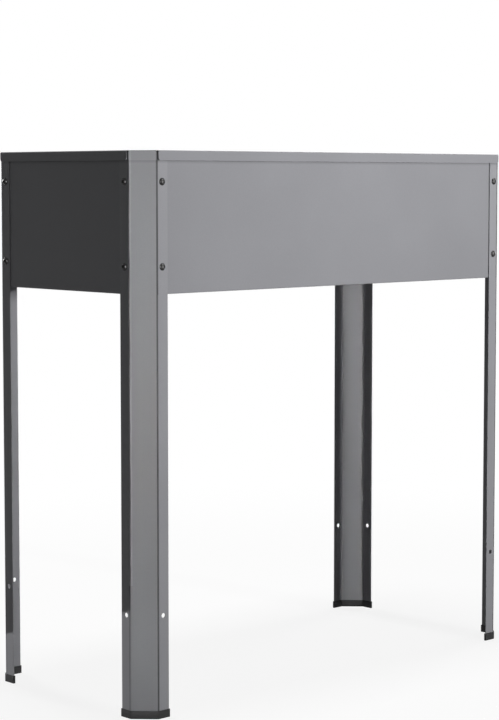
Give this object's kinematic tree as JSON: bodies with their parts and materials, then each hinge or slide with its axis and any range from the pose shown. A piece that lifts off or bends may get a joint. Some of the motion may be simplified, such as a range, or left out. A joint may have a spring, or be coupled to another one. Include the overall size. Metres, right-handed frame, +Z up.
{
  "type": "raised planter on legs",
  "caption": "Long raised planter box of folded sheet metal with a turned-down rim, on chamfered corner legs with foot caps.",
  "frame": {"origin": "on the floor, under the middle of the box", "axes": "+X along the long side, the front face looks along -Y, +Z up"},
  "size_m": [0.792, 0.357, 0.8],
  "materials": {
    "leg_paint": "satin grey powder coat",
    "panel_paint": "satin grey powder coat",
    "base_paint": "satin grey powder coat",
    "cap_plastic": "fine moulded grain",
    "bolt_black": "black oxide",
    "zinc_steel": "bright zinc"
  },
  "bodies": {
    "root": {"leg_front_left": "leg_paint", "foot_cap_front_left": "cap_plastic", "bolts_front_left": "bolt_black", "washers_front_left": "zinc_steel", "nuts_front_left": "zinc_steel", "leg_front_right": "leg_paint", "foot_cap_front_right": "cap_plastic", "bolts_front_right": "bolt_black", "washers_front_right": "zinc_steel", "nuts_front_right": "zinc_steel", "leg_back_left": "leg_paint", "foot_cap_back_left": "cap_plastic", "bolts_back_left": "bolt_black", "washers_back_left": "zinc_steel", "nuts_back_left": "zinc_steel", "leg_back_right": "leg_paint", "foot_cap_back_right": "cap_plastic", "bolts_back_right": "bolt_black", "washers_back_right": "zinc_steel", "nuts_back_right": "zinc_steel", "front_panel": "panel_paint", "back_panel": "panel_paint", "left_end_panel": "panel_paint", "right_end_panel": "panel_paint", "base_panel": "base_paint", "support_bar_left": "base_paint", "support_bar_right": "base_paint"}
  },
  "joints": []
}
